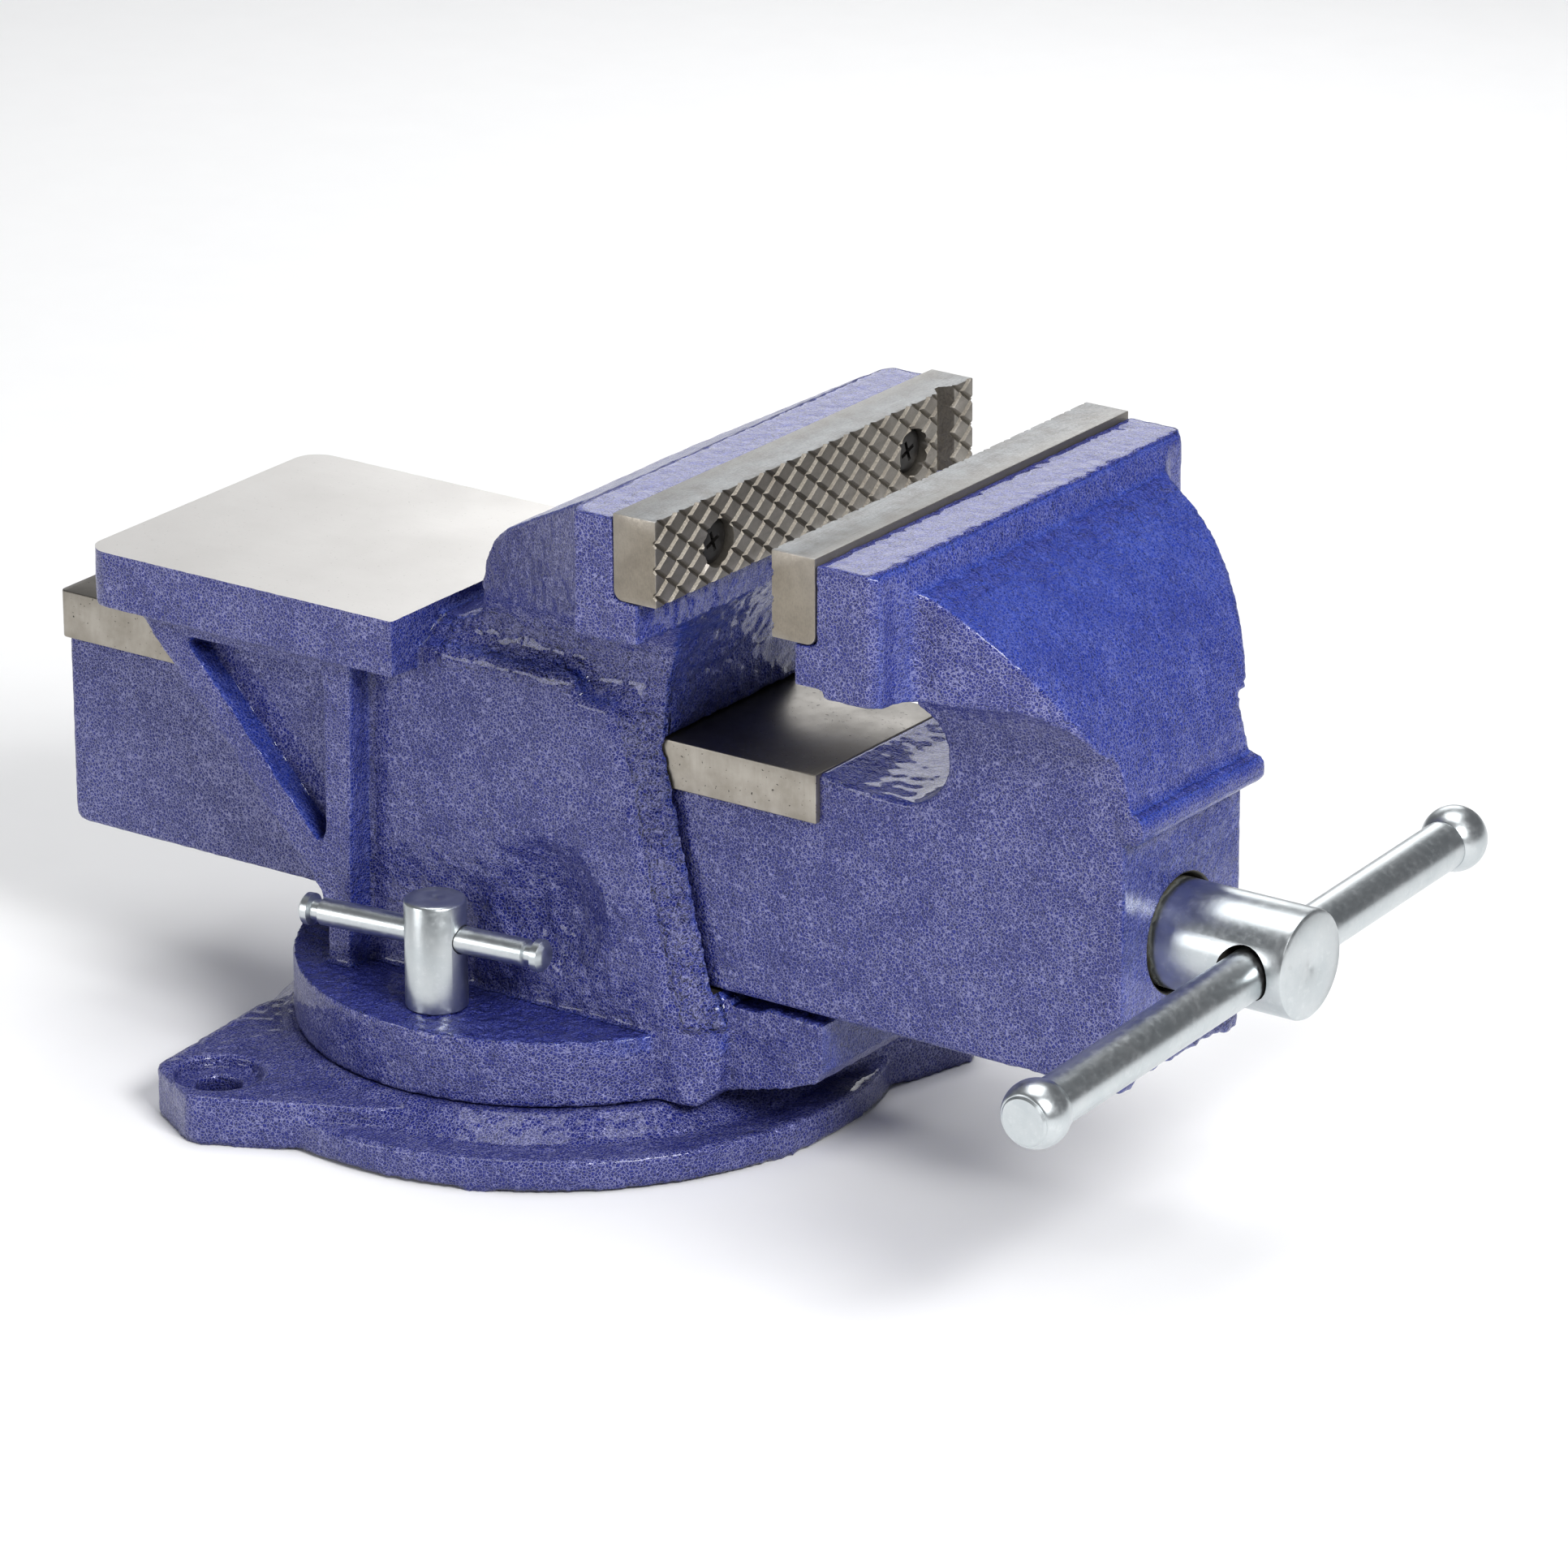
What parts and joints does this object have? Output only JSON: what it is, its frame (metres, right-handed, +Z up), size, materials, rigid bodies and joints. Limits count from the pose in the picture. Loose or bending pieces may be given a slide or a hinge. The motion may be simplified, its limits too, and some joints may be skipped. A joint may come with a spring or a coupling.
{
  "type": "bench vise",
  "caption": "Cast bench vise on a swivel base, with an anvil, a sliding front jaw, serrated jaw plates, a lead screw and a T-bar handle.",
  "frame": {"origin": "on the swivel axis, in the plane of the base's feet", "axes": "+X along the slide towards the handle, +Y along the jaws, +Z up"},
  "size_m": [0.4049, 0.2201, 0.201],
  "materials": {
    "cast_paint": "gloss hammered blue paint over cast iron, with bright machined anvil top and slide rail",
    "jaw_steel": "hardened steel, ground edges and serrated faces",
    "zinc": "bright zinc plated steel",
    "black_oxide": "black oxide",
    "raw_iron": "bare cast iron with a film of grease"
  },
  "bodies": {
    "base": {"swivel_base": "cast_paint"},
    "body": {"vise_body": "cast_paint", "pivot_washer": "zinc", "pivot_bolt": "zinc", "main_nut": "raw_iron", "nut_bolt": "zinc", "nut_washer": "zinc", "fixed_plate": "jaw_steel", "fixed_plate_screws": "black_oxide", "t_nut_near": "zinc", "t_nut_far": "zinc"},
    "jaw": {"moving_jaw": "cast_paint", "moving_plate": "jaw_steel", "moving_plate_screws": "black_oxide", "thrust_washer": "zinc"},
    "spindle": {"lead_screw": "zinc", "screw_collar": "zinc", "collar_pin": "zinc"},
    "handle": {"handle_bar": "zinc", "handle_ball_near": "zinc", "handle_ball_far": "zinc"},
    "lock_near": {"lock_bolt_near": "zinc"},
    "lock_far": {"lock_bolt_far": "zinc"},
    "lock_bar_near": {"lock_bar_near": "zinc"},
    "lock_bar_far": {"lock_bar_far": "zinc"}
  },
  "joints": [
    {"name": "swivel", "type": "hinge", "parent": "base", "child": "body", "pos_m": [0, 0, 0.0163], "axis": [0, 0, 1], "continuous": true},
    {"name": "jaw_slide", "type": "slide", "parent": "body", "child": "jaw", "axis": [1, 0, 0], "range_m": [-0.0375, 0.112]},
    {"name": "spindle_turn", "type": "hinge", "parent": "jaw", "child": "spindle", "pos_m": [0.238, 0, 0.0865], "axis": [1, 0, 0], "range_deg": [-2252, 6722]},
    {"name": "handle_slide", "type": "slide", "parent": "spindle", "child": "handle", "axis": [0, 0.9989, 0.0462], "range_m": [-0.071, 0.089]},
    {"name": "lock_turn_near", "type": "hinge", "parent": "body", "child": "lock_near", "pos_m": [0, -0.0565, 0.057], "axis": [0, 0, 1], "range_deg": [-8, 4]},
    {"name": "lock_turn_far", "type": "hinge", "parent": "body", "child": "lock_far", "pos_m": [0, 0.0565, 0.057], "axis": [0, 0, -1], "range_deg": [-8, 4]},
    {"name": "lock_bar_slide_near", "type": "slide", "parent": "lock_near", "child": "lock_bar_near", "axis": [0.9936, 0.1132, 0], "range_m": [-0.02, 0.024]},
    {"name": "lock_bar_slide_far", "type": "slide", "parent": "lock_far", "child": "lock_bar_far", "axis": [0.9936, -0.1132, 0], "range_m": [-0.02, 0.024]}
  ],
  "couplings": [
    {"joint": "spindle_turn", "follows": "jaw_slide", "rad_per_m": 1047.2}
  ]
}
